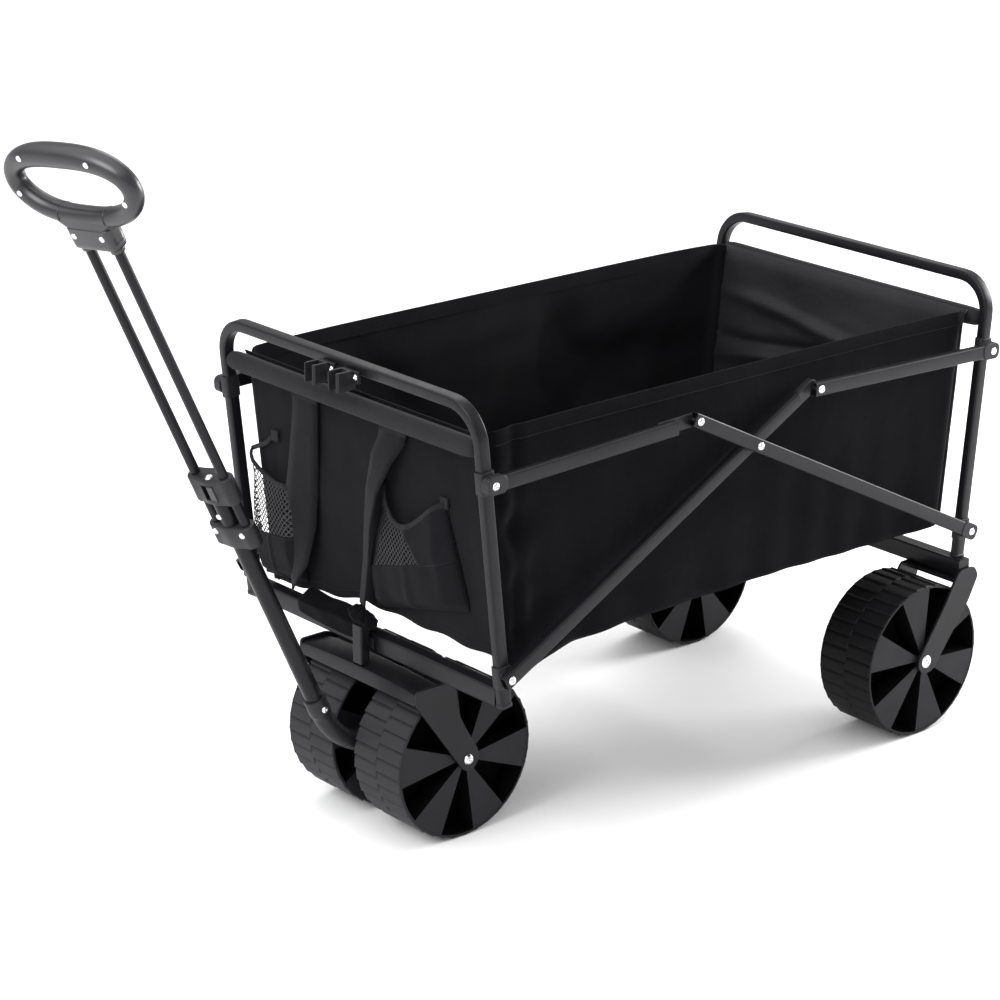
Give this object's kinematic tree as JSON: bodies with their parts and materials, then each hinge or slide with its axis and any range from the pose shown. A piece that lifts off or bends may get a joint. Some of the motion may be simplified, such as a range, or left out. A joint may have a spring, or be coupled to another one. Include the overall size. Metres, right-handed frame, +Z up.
{
  "type": "folding wagon",
  "caption": "Folding wagon with side scissor frames, fabric basket, wide wheels, swivelling front truck and telescoping pull handle.",
  "frame": {"origin": "floor level under the middle of the whole box, handle out and leaning forward", "axes": "+X from the handle to the back of the wagon, +Y to the far side, +Z up, wheels standing on Z = 0"},
  "size_m": [1.2854, 0.5396, 0.9276],
  "materials": {
    "steel_tube": "satin",
    "fabric": "matte",
    "floor_mat": "matte",
    "webbing": "matte",
    "screws": "satin",
    "plastic": "matte",
    "grip_plastic": "satin",
    "wheel_plastic": "matte"
  },
  "bodies": {
    "rear_frame": {"rear_tube_frame": "steel_tube", "rear_hem_roll": "fabric", "rear_panel": "fabric", "side_panel_near": "fabric", "side_panel_far": "fabric", "floor_mat": "floor_mat", "rear_rail": "steel_tube", "rear_fork_near": "steel_tube", "rear_fork_far": "steel_tube", "rear_axle_bolts": "screws", "rear_brackets": "plastic", "rear_pivot_pins": "screws"},
    "rear_bar_near": {"rear_bar_near": "steel_tube", "rear_bar_near_tip": "plastic", "scissor_pins_near": "screws"},
    "rear_bar_far": {"rear_bar_far": "steel_tube", "rear_bar_far_tip": "plastic", "scissor_pins_far": "screws"},
    "front_bar_near": {"front_bar_near": "steel_tube", "front_bar_near_tip": "plastic"},
    "front_bar_far": {"front_bar_far": "steel_tube", "front_bar_far_tip": "plastic"},
    "front_link_near": {"front_link_near": "steel_tube"},
    "front_link_far": {"front_link_far": "steel_tube"},
    "rear_link_near": {"rear_link_near": "steel_tube", "rear_link_near_screw": "screws"},
    "rear_link_far": {"rear_link_far": "steel_tube", "rear_link_far_screw": "screws"},
    "front_frame": {"front_tube_frame": "steel_tube", "front_hem_roll": "fabric", "front_panel": "fabric", "pocket_left": "fabric", "pocket_right": "fabric", "strap_left": "webbing", "strap_right": "webbing", "front_rail": "steel_tube", "front_post": "steel_tube", "hook_clips": "plastic", "front_brackets": "plastic", "front_pivot_pins": "screws"},
    "truck": {"truck_plate": "steel_tube", "truck_arms": "steel_tube", "front_axle": "screws"},
    "wheel_front_near": {"wheel_front_near": "wheel_plastic"},
    "wheel_front_far": {"wheel_front_far": "wheel_plastic"},
    "wheel_rear_near": {"wheel_rear_near": "wheel_plastic"},
    "wheel_rear_far": {"wheel_rear_far": "wheel_plastic"},
    "elbow": {"handle_elbow": "plastic", "elbow_screw": "screws"},
    "handle_lower": {"lower_tube": "steel_tube", "upper_bracket": "plastic", "handle_screws": "screws"},
    "lock_button": {"lock_button": "plastic"},
    "handle_upper": {"twin_tubes": "steel_tube", "lower_bracket": "plastic", "bracket_screws": "screws", "grip": "grip_plastic", "grip_screws": "screws"}
  },
  "joints": [
    {"name": "fold", "type": "hinge", "parent": "rear_frame", "child": "rear_bar_near", "pos_m": [0.59836, -0.2615, 0.271], "axis": [0, 1, 0], "range_deg": [0, 50], "deforming": ["side_panel_near", "side_panel_far", "floor_mat"]},
    {"name": "fold_crossing_near", "type": "hinge", "parent": "rear_bar_near", "child": "front_bar_near", "pos_m": [0.19736, -0.2493, 0.4744], "axis": [0, 1, 0], "range_deg": [-101, 1]},
    {"name": "fold_front_frame", "type": "hinge", "parent": "front_bar_near", "child": "front_frame", "pos_m": [-0.20364, -0.2615, 0.271], "axis": [0, 1, 0], "range_deg": [-1, 51]},
    {"name": "fold_bar_far", "type": "hinge", "parent": "rear_frame", "child": "rear_bar_far", "pos_m": [0.59836, 0.2615, 0.271], "axis": [0, 1, 0], "range_deg": [-1, 51]},
    {"name": "fold_crossing_far", "type": "hinge", "parent": "rear_bar_far", "child": "front_bar_far", "pos_m": [0.19736, 0.2493, 0.4744], "axis": [0, 1, 0], "range_deg": [-101, 1]},
    {"name": "fold_rear_link_near", "type": "hinge", "parent": "rear_frame", "child": "rear_link_near", "pos_m": [0.62411, -0.2615, 0.516], "axis": [0, 1, 0], "range_deg": [-1, 70.5]},
    {"name": "fold_rear_link_far", "type": "hinge", "parent": "rear_frame", "child": "rear_link_far", "pos_m": [0.62411, 0.2615, 0.516], "axis": [0, 1, 0], "range_deg": [-1, 70.5]},
    {"name": "fold_front_link_near", "type": "hinge", "parent": "front_frame", "child": "front_link_near", "pos_m": [-0.22939, -0.2615, 0.516], "axis": [0, 1, 0], "range_deg": [-70.5, 1]},
    {"name": "fold_front_link_far", "type": "hinge", "parent": "front_frame", "child": "front_link_far", "pos_m": [-0.22939, 0.2615, 0.516], "axis": [0, 1, 0], "range_deg": [-70.5, 1]},
    {"name": "steer", "type": "hinge", "parent": "front_frame", "child": "truck", "pos_m": [-0.21924, 0, 0.213], "axis": [0, 0, 1], "range_deg": [-18, 18]},
    {"name": "handle_pitch", "type": "hinge", "parent": "truck", "child": "elbow", "pos_m": [-0.14584, 0, 0.105], "axis": [0, 1, 0], "range_deg": [-55, 17]},
    {"name": "handle_turn", "type": "hinge", "parent": "elbow", "child": "handle_lower", "pos_m": [-0.31862, 0, 0.24624], "axis": [-0.4131, 0, 0.9107], "range_deg": [-22, 0]},
    {"name": "handle_slide", "type": "slide", "parent": "handle_lower", "child": "handle_upper", "axis": [-0.4131, 0, 0.9107], "range_m": [-0.22, 0]},
    {"name": "lock_press", "type": "slide", "parent": "handle_lower", "child": "lock_button", "axis": [0.894, 0.1908, 0.4055], "range_m": [0, 0.0025], "stiffness_N_per_m": 400},
    {"name": "wheel_front_near_spin", "type": "hinge", "parent": "truck", "child": "wheel_front_near", "pos_m": [-0.14584, -0.06625, 0.105], "axis": [0, 1, 0], "continuous": true},
    {"name": "wheel_front_far_spin", "type": "hinge", "parent": "truck", "child": "wheel_front_far", "pos_m": [-0.14584, 0.06625, 0.105], "axis": [0, 1, 0], "continuous": true},
    {"name": "wheel_rear_near_spin", "type": "hinge", "parent": "rear_frame", "child": "wheel_rear_near", "pos_m": [0.52086, -0.21525, 0.105], "axis": [0, 1, 0], "continuous": true},
    {"name": "wheel_rear_far_spin", "type": "hinge", "parent": "rear_frame", "child": "wheel_rear_far", "pos_m": [0.52086, 0.21525, 0.105], "axis": [0, 1, 0], "continuous": true}
  ],
  "couplings": [
    {"joint": "fold_crossing_near", "follows": "fold", "ratio": -2},
    {"joint": "fold_front_frame", "follows": "fold", "ratio": 1},
    {"joint": "fold_bar_far", "follows": "fold", "ratio": 1},
    {"joint": "fold_crossing_far", "follows": "fold", "ratio": -2},
    {"joint": "fold_rear_link_near", "follows": "fold", "ratio": 1.3948},
    {"joint": "fold_rear_link_far", "follows": "fold", "ratio": 1.3948},
    {"joint": "fold_front_link_near", "follows": "fold", "ratio": -1.3948},
    {"joint": "fold_front_link_far", "follows": "fold", "ratio": -1.3948}
  ]
}
